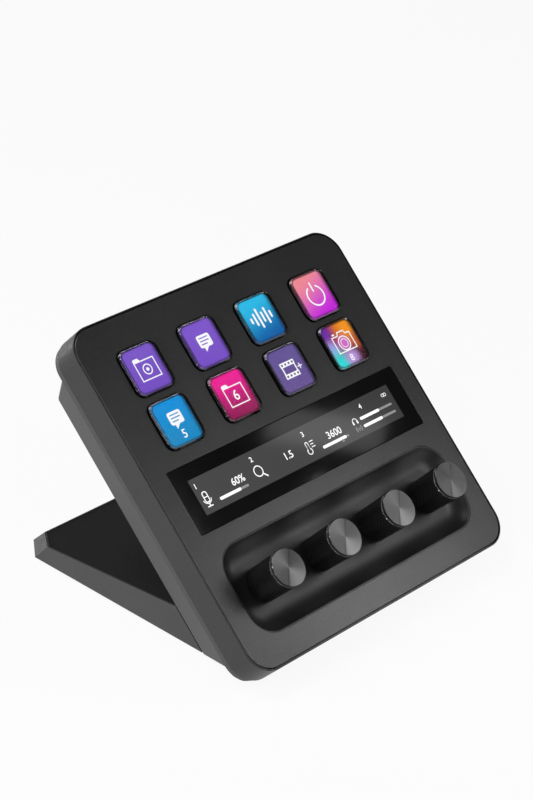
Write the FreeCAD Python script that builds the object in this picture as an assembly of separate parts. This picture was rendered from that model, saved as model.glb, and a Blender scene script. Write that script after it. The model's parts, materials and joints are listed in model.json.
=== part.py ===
import FreeCAD, Part
import math
import os

os.makedirs("parts", exist_ok=True)

# Macro keypad with eight picture keys, a touch strip and four push dials on a wedge foot.
# Sizes are millimetres, angles are degrees.
# Panel pieces are drawn flat: x to the right, y up the panel, z out of its face, zero at the
# middle of the face. Foot pieces are drawn as they stand: y to the back, z up from the floor.

# Panel and its tilt
panel_width = 140.0
panel_corner = 10.5
panel_tilt = 43.5
band_depth = 11.2
floor_clearance = 0.6
overrun = 6.0
upright_share = 0.999
touch_share = 1e-6

# Faceplate and the band round it
face_thickness = 1.6
rim_width = 0.5
rim_gap = 0.4
band_wall = 1.6
edge_break = 0.25
ledge_width = 2.4
ledge_thickness = 1.6

# Keys
key_columns = 4
key_rows = 2
key_row_gap = 3.0
key_side_margin = 15.8
key_top_margin = 13.3
key_size = 18.7
key_corner = 3.4
key_gap = 0.3
key_rise = 1.5
key_travel = 1.2
lens_thickness = 0.9
lens_bevel = 0.7
picture_side_border = 1.15
picture_end_border = 0.65
picture_corner = 1.6
key_flange = 0.75
key_flange_thickness = 1.2
key_flange_gap = 0.2
key_end_gap = 0.35
seat_gap = 0.05

# Carrier frame behind the faceplate
carrier_lip = 1.0
fit_gap = 0.2

# Switch sheet, switch board and display behind the keys
sheet_thickness = 0.6
sheet_rib = 0.7
rib_inset = 0.4
key_window_border = 0.55
board_side_margin = 3.35
board_end_margin = 3.55
key_board_thickness = 1.0
key_display_thickness = 2.6
display_plate_thickness = 1.0
display_plate_side = 8.0
display_plate_end = 3.8
display_post_radius = 2.4
display_post_side = 3.2
display_post_inset = 4.2

# Touch strip
glass_margin = 9.3
glass_height = 25.0
glass_corner = 0.8
glass_thickness = 1.1
glass_drop = 0.12
key_strip_gap = 5.9
strip_display_side = 3.7
strip_display_end = 3.3
strip_display_thickness = 2.1

# Dial recess
well_margin = 9.65
well_height = 35.7
well_corner = 10.5
strip_well_gap = 6.8
well_low_margin = 10.9
well_depth = 4.5
bowl_radius = 9.0
tray_rim = 0.5
tray_rim_drop = 0.15
tray_gap = 0.15
tray_floor = 1.5
tray_flange = 2.0
tray_flange_thickness = 1.5
tray_underside_round = 4.0

# Dials
dial_count = 4
dial_end_margin = 15.575
dial_rise = 13.7
dial_end_gap = 0.3
dial_travel = 0.8
grip_base_radius = 6.9
grip_top_radius = 7.3
grip_mouth_radius = 4.3
grip_mouth_depth = 3.0
cap_face_radius = 6.9
cap_thickness = 1.4
cap_ring = 0.6
cap_ring_edge = 0.3
cap_face_edge = 0.1
cap_spigot_radius = 5.0
cap_spigot = 1.0

# Encoders under the dials
shaft_radius = 3.0
shaft_flat_depth = 1.5
shaft_flat_start = 1.0
shaft_clearance = 0.05
shaft_reach = 10.8
bushing_radius = 3.5
bushing_hole_gap = 0.3
bushing_drop = 0.15
case_width = 12.4
case_length = 13.2
case_height = 6.3
case_top_gap = 0.3
case_roof = 1.2
case_cavity = 9.0
slider_clearance = 0.05
collar_radius = 3.6
collar_thickness = 1.6
tail_radius = 1.5
head_radius = 2.2
head_thickness = 0.75
head_gap = 0.1
dome_radius = 3.0
dome_height = 0.4

# Dial board and its posts
dial_board_side = 4.35
dial_board_end = 4.85
dial_board_thickness = 1.6
dial_post_radius = 2.5
dial_post_inset = 4.5

# Rear cover
seam = 0.45
seam_depth = 0.9
cover_inset = 0.5
cover_flange = 2.1
cover_wall = 2.0
hump_depth = 28.2
hump_side_inset = 2.0
hump_taper = 4.0
hump_top_inset = 9.5
hump_top_taper = 4.5
hump_bottom_taper = 10.1
hump_bottom_round = 7.0
hump_base_round = 1.2
hump_edge_round = 2.2
hump_rim_round = 0.7
boss_radius = 2.4
boss_depth = 1.2

# Housing screws
screw_inset = 5.2
screw_low_inset = 12.0
screw_high_inset = 18.2
screw_radius = 1.2
screw_head_radius = 2.1
screw_head = 1.5
screw_head_drop = 0.1
screw_hole_gap = 0.2
screw_end_gap = 0.3

# Main board and the socket
main_board_side = 18.0
main_board_height = 56.0
main_board_gap = 9.25
main_board_rise = 9.2
main_board_thickness = 1.6
main_post_radius = 2.7
main_post_side = 5.0
main_post_end = 4.0
small_screw_radius = 1.0
small_screw_head_radius = 1.9
small_screw_head = 1.2
small_screw_length = 5.0
socket_inset = 8.0
socket_width = 8.94
socket_height = 3.26
socket_wall = 0.3
socket_drop = 0.3
socket_depth = 6.2
tongue_width = 6.7
tongue_thickness = 0.7
tongue_drop = 0.9
socket_hole_gap = 0.35

# Parts on the main board: width, height and thickness of each
processor_size = (14.0, 14.0, 1.4)
memory_size = (11.0, 8.0, 1.2)
power_size = (7.0, 7.0, 2.6)
connector_size = (24.0, 5.0, 2.0)
power_share = 0.33
processor_share = -0.25
memory_share = -0.42

# Flat leads
ribbon_width = 20.0
ribbon_thickness = 0.3
ribbon_bend = 1.6
ribbon_drop = 5.4

# Foot
foot_side_inset = 0.2
foot_front_height = 13.0
foot_back_height = 6.8
foot_top_length = 76.1
foot_toe = 6.9
foot_corner_across = 7.3
foot_corner_along = 9.4
foot_corner_toe = 6.7
foot_wall = 1.8
foot_front_wall = 3.0
foot_seam = 0.5
foot_seam_depth = 1.0
mat_rim = 0.7
mat_drop = 0.2
mat_thickness = 1.0
base_thickness = 1.6
base_gap = 0.2
pad_thickness = 0.8
pad_inset = 1.2
weight_side = 15.8
weight_length = 40.0
weight_thickness = 3.0
weight_start = 10.0
foot_screw_shares = (-0.75, -0.25, 0.25, 0.75)
foot_screw_rise = 11.8
foot_screw_radius = 1.5
foot_screw_head_radius = 2.7
foot_screw_head = 1.8
foot_boss_radius = 3.2
foot_boss_depth = 4.2

# Derived sizes of the panel: its height is the sum of its rows and the gaps between them
key_pitch_x = (panel_width - 2 * key_side_margin - key_size) / (key_columns - 1)
key_pitch_y = key_size + key_row_gap
keys_height = (key_rows - 1) * key_pitch_y + key_size
panel_height = (key_top_margin + keys_height + key_strip_gap + glass_height
                + strip_well_gap + well_height + well_low_margin)
key_middle = panel_height / 2 - key_top_margin - keys_height / 2
strip_middle = key_middle - keys_height / 2 - key_strip_gap - glass_height / 2
well_middle = strip_middle - glass_height / 2 - strip_well_gap - well_height / 2
glass_width = panel_width - 2 * glass_margin
well_width = panel_width - 2 * well_margin
dial_pitch = (well_width - 2 * dial_end_margin) / (dial_count - 1)
screw_x = panel_width / 2 - screw_inset
screw_low = screw_low_inset - panel_height / 2
screw_high = panel_height / 2 - screw_high_inset

# Derived places of the panel
tilt_sin = math.sin(math.radians(panel_tilt))
tilt_cos = math.cos(math.radians(panel_tilt))
panel_lift = floor_clearance + panel_height / 2 * tilt_sin + band_depth * tilt_cos
reach = panel_width + panel_height

# Derived depths, all below the face and so negative
carrier_top = -face_thickness
flange_high = carrier_top - carrier_lip - seat_gap
flange_low = flange_high - key_flange_thickness
carrier_low = flange_low - key_travel - key_end_gap
skirt_top = key_rise - lens_thickness
sheet_low = carrier_low - sheet_thickness
key_board_low = sheet_low - key_board_thickness
key_display_low = key_board_low - key_display_thickness
display_plate_low = key_display_low - display_plate_thickness
glass_top = -glass_drop
glass_low = glass_top - glass_thickness
strip_display_low = glass_low - strip_display_thickness
tray_low = -well_depth - tray_floor
case_top = tray_low - case_top_gap
dial_board_top = case_top - case_height
dial_board_low = dial_board_top - dial_board_thickness
cover_top = -band_depth
flange_plate_top = cover_top - seam
flange_plate_low = flange_plate_top - cover_flange
hump_low = -hump_depth
main_board_top = hump_low + main_board_rise
main_board_low = main_board_top - main_board_thickness

# Derived sizes of the keys
flange_size = key_size + 2 * key_flange
flange_hole = flange_size + 2 * key_flange_gap
window_size = key_size + 2 * key_gap
window_corner = key_corner + key_gap
picture_width = key_size - 2 * picture_side_border
picture_height = key_size - 2 * picture_end_border
key_window = key_size - 2 * key_window_border

# Derived sizes of the boards, the plate and the displays
board_width = (key_columns - 1) * key_pitch_x + key_window + 2 * board_side_margin
board_height = (key_rows - 1) * key_pitch_y + key_window + 2 * board_end_margin
display_plate_width = board_width + 2 * display_plate_side
display_plate_height = board_height + 2 * display_plate_end
display_post_x = board_width / 2 + display_post_side
display_post_reach = board_height / 2 - display_post_inset
strip_display_width = glass_width - 2 * strip_display_side
strip_display_height = glass_height - 2 * strip_display_end
dial_board_width = well_width - 2 * dial_board_side
dial_board_height = well_height - 2 * dial_board_end
dial_post_reach = dial_board_height / 2 - dial_post_inset
hump_base_half = panel_width / 2 - hump_side_inset
hump_top = panel_height / 2 - hump_top_inset
hump_bottom = (pad_thickness - panel_lift + hump_depth * tilt_cos) / tilt_sin
main_board_width = panel_width - 2 * main_board_side
main_board_bottom = well_middle + dial_board_height / 2 + main_board_gap
main_board_middle = main_board_bottom + main_board_height / 2
main_post_x = main_board_width / 2 - main_post_side
main_post_reach = main_board_height / 2 - main_post_end
socket_middle = main_board_middle + main_board_height / 2 - socket_inset
foot_width = 2 * (hump_base_half - hump_taper - foot_side_inset)
foot_screw_height = hump_bottom + foot_screw_rise
foot_screw_places = [share * foot_width / 2 for share in foot_screw_shares]
weight_width = foot_width - 2 * weight_side


def vector(x, y, z):
    return FreeCAD.Vector(x, y, z)


def plate(width, height, corner, low, high, x=0.0, y=0.0):
    """Flat plate with rounded corners between two heights."""
    half_x = width / 2
    half_y = height / 2
    slab = Part.makeBox(width, height, high - low, vector(x - half_x, y - half_y, low))
    return slab.makeFillet(corner, [e for e in slab.Edges if is_upright(e)])


def block(width, height, low, high, x=0.0, y=0.0):
    """Square-cornered block, centred on x and y."""
    return Part.makeBox(width, height, high - low, vector(x - width / 2, y - height / 2, low))


def rod(radius, low, high, x=0.0, y=0.0):
    return Part.makeCylinder(radius, high - low, vector(x, y, low))


def is_upright(edge):
    span = edge.BoundBox
    return span.ZLength > span.DiagonalLength * upright_share


def is_flat_at(edge, z):
    span = edge.BoundBox
    return abs(span.ZMin - z) < touch_share * reach and span.ZLength < touch_share * reach


def fuse(first, others):
    return first.multiFuse(others).removeSplitter()


def half_space(point, normal):
    """Large block on the side of a plane that its normal points to."""
    big = Part.makeBox(2 * reach, 2 * reach, reach, vector(-reach, -reach, 0))
    big.Placement = FreeCAD.Placement(point, FreeCAD.Rotation(vector(0, 0, 1), normal))
    return big


def panel_point(y, z):
    """Where a point of the flat panel frame lies once the panel is tilted."""
    return y * tilt_cos - z * tilt_sin, y * tilt_sin + z * tilt_cos + panel_lift


def back_plane(height, depth):
    """Distance to the back, at a height over the floor, of a plane behind the panel's face."""
    return (height - panel_lift + depth * tilt_cos) / tilt_sin * tilt_cos + depth * tilt_sin


# Derived places of the foot
foot_low = pad_thickness
foot_depth = hump_depth + foot_seam
foot_front_z = foot_low + foot_front_height
foot_front_y = back_plane(foot_front_z, foot_depth)
foot_back_z = foot_low + foot_back_height
foot_back_y = foot_front_y + foot_top_length
foot_end_y = foot_back_y + foot_toe
foot_slope = (foot_back_z - foot_front_z) / foot_top_length
toe_slope = foot_toe / foot_back_height
front_edge_y = min(panel_point(-panel_height / 2, -edge_break)[0],
                   panel_point(edge_break - panel_height / 2, 0)[0])
middle_y = (front_edge_y + foot_end_y) / 2


def stand_up(shape):
    """Tilt a panel piece and set it over the middle of the object's footprint."""
    placed = shape.copy()
    placed.rotate(vector(0, 0, 0), vector(1, 0, 0), panel_tilt)
    placed.translate(vector(0, -middle_y, panel_lift))
    return placed


def set_down(shape):
    """Set a foot piece over the middle of the object's footprint."""
    placed = shape.copy()
    placed.translate(vector(0, -middle_y, 0))
    return placed


def save(name, shape):
    solids = shape.Solids
    piece = solids[0] if len(solids) == 1 else Part.makeCompound(solids)
    box = piece.BoundBox
    print("%-18s %2d solid  valid %s  volume %9.2f  y %7.2f %7.2f  z %7.2f %7.2f" % (
        name, len(solids), piece.isValid(), piece.Volume, box.YMin, box.YMax, box.ZMin, box.ZMax))
    piece.exportStep("parts/%s.step" % name)


def key_places():
    places = []
    for row in range(key_rows):
        for column in range(key_columns):
            x = (column - (key_columns - 1) / 2) * key_pitch_x
            y = key_middle + ((key_rows - 1) / 2 - row) * key_pitch_y
            places.append((x, y))
    return places


def dial_places():
    return [((i - (dial_count - 1) / 2) * dial_pitch, well_middle) for i in range(dial_count)]


def corner_places(x, y_reach, middle=0.0):
    return [(side * x, middle + end * y_reach) for side in (-1, 1) for end in (-1, 1)]


def housing_screw_places():
    return [(side * screw_x, y) for side in (-1, 1) for y in (screw_low, strip_middle, screw_high)]


# Faceplate

def make_faceplate():
    inset = rim_width + rim_gap
    sheet = plate(panel_width - 2 * inset, panel_height - 2 * inset, panel_corner - inset, carrier_top, 0)
    sheet = sheet.makeChamfer(edge_break, [e for e in sheet.Edges if is_flat_at(e, 0)])
    cuts = []
    for x, y in key_places():
        cuts.append(plate(window_size, window_size, window_corner, carrier_top - overrun, overrun, x, y))
    cuts.append(plate(glass_width + 2 * fit_gap, glass_height + 2 * fit_gap, glass_corner + fit_gap,
                      carrier_top - overrun, overrun, 0, strip_middle))
    cuts.append(plate(well_width, well_height, well_corner, carrier_top - overrun, overrun, 0, well_middle))
    return sheet.cut(Part.makeCompound(cuts))


# Band round the panel, with the ledge that the carrier rests on

def make_front_frame():
    outer = plate(panel_width, panel_height, panel_corner, cover_top, 0)
    outer = outer.makeChamfer(edge_break, [e for e in outer.Edges if is_flat_at(e, 0) or is_flat_at(e, cover_top)])
    inner_width = panel_width - 2 * band_wall
    inner_height = panel_height - 2 * band_wall
    inner_corner = panel_corner - band_wall
    hollow = plate(inner_width, inner_height, inner_corner, cover_top - overrun, overrun)
    mouth = plate(panel_width - 2 * rim_width, panel_height - 2 * rim_width, panel_corner - rim_width,
                  carrier_top, overrun)
    ledge = plate(inner_width, inner_height, inner_corner, carrier_low - ledge_thickness, carrier_low)
    ledge = ledge.cut(plate(inner_width - 2 * ledge_width, inner_height - 2 * ledge_width,
                            inner_corner - ledge_width, cover_top, overrun))
    bosses = [rod(boss_radius, cover_top, carrier_low, x, y) for x, y in housing_screw_places()]
    bosses = [b.common(hollow) for b in bosses]
    frame = fuse(outer.cut(hollow).cut(mouth), [ledge] + bosses)
    holes = [rod(screw_radius + screw_hole_gap, cover_top - overrun, overrun, x, y)
             for x, y in housing_screw_places()]
    return frame.cut(Part.makeCompound(holes))


# Carrier frame: guides the keys, holds the glass, the strip display and the dial tray

def make_carrier_frame():
    gap = band_wall + fit_gap
    body = plate(panel_width - 2 * gap, panel_height - 2 * gap, panel_corner - gap, carrier_low, carrier_top)
    seat = plate(glass_width, glass_height, glass_corner, carrier_top, glass_low, 0, strip_middle)
    posts = [rod(display_post_radius, key_display_low, carrier_low, x, y)
             for x, y in corner_places(display_post_x, display_post_reach, key_middle)]
    body = fuse(body, [seat] + posts)
    cuts = []
    for x, y in key_places():
        cuts.append(plate(window_size, window_size, window_corner, carrier_low - overrun, overrun, x, y))
        cuts.append(plate(flange_hole, flange_hole, window_corner, carrier_low - overrun,
                          carrier_top - carrier_lip, x, y))
    cuts.append(block(strip_display_width + 2 * fit_gap, strip_display_height + 2 * fit_gap,
                      strip_display_low - fit_gap, overrun, 0, strip_middle))
    tray_width = well_width - 2 * tray_gap + 2 * fit_gap
    tray_height = well_height - 2 * tray_gap + 2 * fit_gap
    cuts.append(plate(tray_width, tray_height, well_corner, carrier_low - overrun, overrun, 0, well_middle))
    flange = 2 * (tray_flange + fit_gap)
    cuts.append(plate(well_width + flange, well_height + flange, well_corner + tray_flange,
                      carrier_top - tray_flange_thickness, overrun, 0, well_middle))
    for x, y in housing_screw_places():
        cuts.append(rod(screw_radius + screw_hole_gap, carrier_low - overrun, overrun, x, y))
        cuts.append(rod(screw_head_radius + screw_hole_gap, carrier_top - screw_head_drop - screw_head,
                        overrun, x, y))
    for x, y in corner_places(display_post_x, display_post_reach, key_middle):
        cuts.append(rod(small_screw_radius, key_display_low - overrun,
                        key_display_low + small_screw_length - display_plate_thickness + screw_end_gap, x, y))
    return body.cut(Part.makeCompound(cuts))


# Keys: a black frame that slides in the carrier, with a clear top

def make_key_skirt(x, y):
    frame = plate(key_size, key_size, key_corner, flange_low, skirt_top, x, y)
    foot = plate(flange_size, flange_size, key_corner, flange_low, flange_high, x, y)
    opening = plate(picture_width, picture_height, picture_corner, flange_low - overrun,
                    skirt_top + overrun, x, y)
    return fuse(frame, [foot]).cut(opening)


def make_key_lens(x, y):
    lens = plate(key_size, key_size, key_corner, skirt_top, key_rise, x, y)
    return lens.makeChamfer(lens_bevel, [e for e in lens.Edges if is_flat_at(e, key_rise)])


# Switch sheet with a sprung rib under each key, and the board under it

def make_key_membrane():
    sheet = block(board_width, board_height, sheet_low, carrier_low, 0, key_middle)
    rib_size = flange_size - 2 * rib_inset
    rib_hole = rib_size - 2 * sheet_rib
    ribs = []
    holes = []
    for x, y in key_places():
        rib = plate(rib_size, rib_size, key_corner - rib_inset, carrier_low, flange_low - seat_gap, x, y)
        hole = plate(rib_hole, rib_hole, key_corner - rib_inset - sheet_rib, carrier_low, overrun, x, y)
        ribs.append(rib.cut(hole))
        holes.append(plate(key_window, key_window, picture_corner, sheet_low - overrun, carrier_low, x, y))
    return fuse(sheet.cut(Part.makeCompound(holes)), ribs)


def make_key_board():
    board = block(board_width, board_height, key_board_low, sheet_low, 0, key_middle)
    holes = [plate(key_window, key_window, picture_corner, key_board_low - overrun, overrun, x, y)
             for x, y in key_places()]
    return board.cut(Part.makeCompound(holes))


def make_key_display():
    return block(board_width, board_height, key_display_low, key_board_low, 0, key_middle)


def make_display_plate():
    sheet = plate(display_plate_width, display_plate_height, display_post_radius, display_plate_low,
                  key_display_low, 0, key_middle)
    holes = [rod(small_screw_radius + screw_hole_gap, display_plate_low - overrun, overrun, x, y)
             for x, y in corner_places(display_post_x, display_post_reach, key_middle)]
    clear = [rod(boss_radius + fit_gap, display_plate_low - overrun, overrun, x, y)
             for x, y in housing_screw_places()]
    return sheet.cut(Part.makeCompound(holes + clear))


def small_screw(x, y, seat, side):
    """Small screw whose head stands on a seat; side is 1 for a head above it, -1 for one below."""
    head_end = seat + side * small_screw_head
    tip = seat - side * small_screw_length
    head = rod(small_screw_head_radius, min(seat, head_end), max(seat, head_end), x, y)
    shank = rod(small_screw_radius, min(seat, tip), max(seat, tip), x, y)
    return fuse(head, [shank])


# Touch strip

def make_touch_glass():
    glass = plate(glass_width, glass_height, glass_corner, glass_low, glass_top, 0, strip_middle)
    return glass.makeChamfer(glass_drop, [e for e in glass.Edges if is_flat_at(e, glass_top)])


def make_strip_display():
    return block(strip_display_width, strip_display_height, strip_display_low, glass_low, 0, strip_middle)


# Dial tray: a soft-sided bowl with a hole for each dial

def make_dial_tray():
    body = plate(well_width - 2 * tray_gap, well_height - 2 * tray_gap, well_corner - tray_gap, tray_low,
                 -tray_rim_drop, 0, well_middle)
    body = body.makeFillet(tray_underside_round, [e for e in body.Edges if is_flat_at(e, tray_low)])
    flange = plate(well_width + 2 * tray_flange, well_height + 2 * tray_flange, well_corner + tray_flange,
                   carrier_top - tray_flange_thickness, carrier_top, 0, well_middle)
    posts = []
    for x, y in corner_places(dial_pitch, dial_post_reach, well_middle):
        posts.append(rod(dial_post_radius, dial_board_top, tray_low + tray_floor / 2, x, y))
    spread = bowl_radius - math.sqrt(bowl_radius ** 2 - (bowl_radius - well_depth) ** 2)
    grow = 2 * (spread - tray_rim)
    bowl = plate(well_width + grow, well_height + grow, well_corner + spread - tray_rim,
                 -well_depth, bowl_radius, 0, well_middle)
    bowl = bowl.makeFillet(bowl_radius, [e for e in bowl.Edges if is_flat_at(e, -well_depth)])
    cuts = [bowl]
    for x, y in dial_places():
        cuts.append(rod(bushing_radius + bushing_hole_gap, tray_low - overrun, overrun, x, y))
    for x, y in corner_places(dial_pitch, dial_post_reach, well_middle):
        cuts.append(rod(small_screw_radius, dial_board_top - overrun,
                        dial_board_top + small_screw_length - dial_board_thickness + screw_end_gap, x, y))
    tray = fuse(body, [flange] + posts)
    for cut in cuts:
        tray = tray.cut(cut)
    return tray


# Encoders: a fixed case with a bushing, a push slider, and a turning shaft

collar_top = case_top - case_roof - seat_gap
collar_low = collar_top - collar_thickness
slider_top = collar_low - seat_gap
slider_low = dial_board_top + dome_height + dial_travel + seat_gap
head_low = slider_low + seat_gap


def encoder_case(x, y):
    case = block(case_width, case_length, dial_board_top, case_top, x, y)
    bushing = rod(bushing_radius, case_top, -well_depth - bushing_drop, x, y)
    cavity = block(case_cavity, case_cavity, dial_board_top - overrun, case_top - case_roof, x, y)
    bore = rod(shaft_radius + shaft_clearance, dial_board_top, overrun, x, y)
    return fuse(case, [bushing]).cut(cavity).cut(bore)


def make_encoder_cases():
    return Part.makeCompound([encoder_case(x, y) for x, y in dial_places()])


def make_push_slider(x, y):
    side = case_cavity - 2 * slider_clearance
    body = block(side, side, slider_low, slider_top, x, y)
    hole = rod(tail_radius + shaft_clearance, slider_low - overrun, slider_top + overrun, x, y)
    pocket = rod(head_radius + head_gap, slider_low - overrun, head_low + head_thickness + seat_gap, x, y)
    return body.cut(hole).cut(pocket)


def make_knob_shaft(x, y):
    main = rod(shaft_radius, collar_top, shaft_reach, x, y)
    collar = rod(collar_radius, collar_low, collar_top, x, y)
    tail = rod(tail_radius, head_low, collar_low, x, y)
    head = rod(head_radius, head_low, head_low + head_thickness, x, y)
    flat = block(2 * shaft_radius, shaft_flat_depth, shaft_flat_start, shaft_reach + overrun,
                 x, y + shaft_radius - shaft_flat_depth / 2)
    return fuse(main, [collar, tail, head]).cut(flat)


grip_low = -well_depth + dial_travel + dial_end_gap
grip_top = dial_rise - cap_thickness


def make_knob_grip(x, y):
    body = Part.makeCone(grip_base_radius, grip_top_radius, grip_top - grip_low, vector(x, y, grip_low))
    body = body.makeChamfer(edge_break, [e for e in body.Edges if is_flat_at(e, grip_low)])
    mouth = rod(grip_mouth_radius, grip_low - overrun, grip_low + grip_mouth_depth, x, y)
    bore = rod(shaft_radius, grip_low, shaft_reach, x, y)
    flat = block(2 * shaft_radius, shaft_flat_depth, shaft_flat_start, shaft_reach,
                 x, y + shaft_radius - shaft_flat_depth / 2)
    seat = rod(cap_spigot_radius, grip_top - cap_spigot, grip_top + overrun, x, y)
    return body.cut(mouth).cut(bore.cut(flat)).cut(seat)


def make_knob_cap(x, y):
    ring_top = grip_top + cap_ring
    ring = rod(grip_top_radius, grip_top, ring_top, x, y)
    ring = ring.makeChamfer(cap_ring_edge, [e for e in ring.Edges if is_flat_at(e, ring_top)])
    disc = rod(cap_face_radius, grip_top, dial_rise, x, y)
    disc = disc.makeChamfer(cap_face_edge, [e for e in disc.Edges if is_flat_at(e, dial_rise)])
    spigot = rod(cap_spigot_radius, grip_top - cap_spigot, grip_top, x, y)
    return fuse(ring, [disc, spigot])


def make_dial_board():
    board = block(dial_board_width, dial_board_height, dial_board_low, dial_board_top, 0, well_middle)
    domes = [rod(dome_radius, dial_board_top, dial_board_top + dome_height, x, y) for x, y in dial_places()]
    holes = [rod(small_screw_radius + screw_hole_gap, dial_board_low - overrun, overrun, x, y)
             for x, y in corner_places(dial_pitch, dial_post_reach, well_middle)]
    return fuse(board, domes).cut(Part.makeCompound(holes))


# Rear cover: a flange behind the band and a hump that narrows to the back

hump_rise = flange_plate_low - hump_low


def hump_profile(near, far, base_round):
    """Half outline of the hump from its back to the flange, flared where it meets the flange."""
    slope = vector(far - near, hump_rise, 0).normalize()
    outward = vector(1 if far > near else -1, 0, 0)
    lean = slope.dot(vector(0, 1, 0))
    turn = math.acos(lean)
    tangent = base_round * math.tan((math.pi / 2 - turn) / 2)
    corner = vector(far, hump_rise, 0)
    start = corner - slope * tangent
    end = corner + outward * tangent
    centre = end - vector(0, base_round, 0)
    middle = centre + (corner - centre).normalize() * base_round
    return start, middle, end


def hump_outline(near_low, far_low, near_high, far_high, low_round, high_round):
    """Closed outline across the hump, from its back plane to the flange."""
    low = hump_profile(near_low, far_low, low_round)
    high = hump_profile(near_high, far_high, high_round)
    return Part.Wire([
        Part.makeLine(high[2], low[2]),
        Part.Arc(low[2], low[1], low[0]).toShape(),
        Part.makeLine(low[0], vector(near_low, 0, 0)),
        Part.makeLine(vector(near_low, 0, 0), vector(near_high, 0, 0)),
        Part.makeLine(vector(near_high, 0, 0), high[0]),
        Part.Arc(high[0], high[1], high[2]).toShape(),
    ])


def hump_block():
    """Hump with its flared base: its outline across the panel, cut by its outline along it."""
    near = hump_base_half - hump_taper
    across = hump_outline(-near, -hump_base_half, near, hump_base_half, hump_base_round, hump_base_round)
    across = Part.Face(across).extrude(vector(0, 0, 2 * reach))
    across.rotate(vector(0, 0, 0), vector(1, 0, 0), 90)
    across.translate(vector(0, reach, hump_low))
    along = hump_outline(hump_bottom, hump_bottom - hump_bottom_taper, hump_top - hump_top_taper, hump_top,
                         hump_bottom_round, hump_base_round)
    along = Part.Face(along).extrude(vector(0, 0, 2 * reach))
    along.rotate(vector(0, 0, 0), vector(1, 1, 1), 120)
    along.translate(vector(-reach, 0, hump_low))
    return across.common(along)


def hump_hollow():
    """Room inside the hump, one wall thick on each side and open to the front."""
    low = hump_low + cover_wall
    high = cover_top + overrun

    def at(z, taper):
        return taper * (z - hump_low) / hump_rise

    near_x = hump_base_half - hump_taper - cover_wall
    near_top = hump_top - hump_top_taper - cover_wall
    near_bottom = hump_bottom + cover_wall
    wires = []
    for z in (low, high):
        x = near_x + at(z, hump_taper)
        top = near_top + at(z, hump_top_taper)
        bottom = near_bottom - at(min(z, flange_plate_low), hump_bottom_taper)
        corners = [vector(-x, bottom, z), vector(x, bottom, z), vector(x, top, z), vector(-x, top, z)]
        wires.append(Part.makePolygon(corners + corners[:1]))
    room = Part.makeLoft(wires, True, True)
    inset = cover_inset + cover_wall
    return room.common(plate(panel_width - 2 * inset, panel_height - 2 * inset, panel_corner - inset,
                             low, high))


def make_rear_cover():
    neck = plate(panel_width - 2 * seam_depth, panel_height - 2 * seam_depth, panel_corner - seam_depth,
                 flange_plate_low, cover_top)
    flange = plate(panel_width - 2 * cover_inset, panel_height - 2 * cover_inset,
                   panel_corner - cover_inset, flange_plate_low, flange_plate_top)
    hump = hump_block()
    slanted = [e for e in hump.Edges if e.BoundBox.YMin > 0 and e.BoundBox.YLength > 0
               and e.BoundBox.ZLength > hump_rise / 2]
    hump = hump.makeFillet(hump_edge_round, slanted)
    rim = [e for e in hump.Edges if is_flat_at(e, hump_low) and e.BoundBox.YMax > hump_bottom / 2]
    hump = hump.makeFillet(hump_rim_round, rim)
    outline = plate(panel_width - 2 * cover_inset, panel_height - 2 * cover_inset,
                    panel_corner - cover_inset, hump_low - overrun, overrun)
    under = half_space(vector(0, (floor_clearance - panel_lift) / tilt_sin, 0), vector(0, -tilt_sin, -tilt_cos))
    shell = fuse(hump.common(outline), [neck, flange]).cut(hump_hollow()).cut(under)
    added = []
    for x, y in housing_screw_places():
        added.append(rod(boss_radius, flange_plate_low - boss_depth, cover_top, x, y))
    for x, y in corner_places(main_post_x, main_post_reach, main_board_middle):
        added.append(rod(main_post_radius, hump_low + cover_wall / 2, main_board_low, x, y))
    for x in foot_screw_places:
        added.append(rod(foot_boss_radius, hump_low + cover_wall / 2, hump_low + cover_wall + foot_boss_depth,
                         x, foot_screw_height))
    shell = fuse(shell, added)
    cuts = []
    for x, y in housing_screw_places():
        cuts.append(rod(screw_radius, flange_plate_low - boss_depth + screw_end_gap, overrun, x, y))
    for x, y in corner_places(main_post_x, main_post_reach, main_board_middle):
        cuts.append(rod(small_screw_radius, main_board_top - small_screw_length - screw_end_gap, overrun, x, y))
    for x in foot_screw_places:
        cuts.append(rod(foot_screw_radius, hump_low - overrun, overrun, x, foot_screw_height))
    hole_width = socket_width + 2 * socket_hole_gap
    hole_height = socket_height + 2 * socket_hole_gap
    cuts.append(plate(hole_width, hole_height, hole_height / 2 - touch_share * reach, hump_low - overrun,
                      hump_low + cover_wall + overrun, 0, socket_middle))
    return shell.cut(Part.makeCompound(cuts))


def make_housing_screws():
    screws = []
    high = carrier_top - screw_head_drop
    for x, y in housing_screw_places():
        head = rod(screw_head_radius, high - screw_head, high, x, y)
        shank = rod(screw_radius, flange_plate_low - boss_depth + 2 * screw_end_gap, high - screw_head, x, y)
        screws.append(fuse(head, [shank]))
    return Part.makeCompound(screws)


# Main board, what stands on it, and the socket

def make_main_board():
    board = block(main_board_width, main_board_height, main_board_low, main_board_top, 0, main_board_middle)
    holes = [rod(small_screw_radius + screw_hole_gap, main_board_low - overrun, overrun, x, y)
             for x, y in corner_places(main_post_x, main_post_reach, main_board_middle)]
    return board.cut(Part.makeCompound(holes))


def make_board_screws():
    screws = []
    for x, y in corner_places(main_post_x, main_post_reach, main_board_middle):
        screws.append(small_screw(x, y, main_board_top, 1))
    for x, y in corner_places(dial_pitch, dial_post_reach, well_middle):
        screws.append(small_screw(x, y, dial_board_low, -1))
    for x, y in corner_places(display_post_x, display_post_reach, key_middle):
        screws.append(small_screw(x, y, display_plate_low, -1))
    return Part.makeCompound(screws)


display_lead_y = key_middle - board_height / 2 - ribbon_drop
dial_lead_y = main_board_bottom + connector_size[1]


def on_board(size, x, y):
    return block(size[0], size[1], main_board_top, main_board_top + size[2], x, y)


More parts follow.
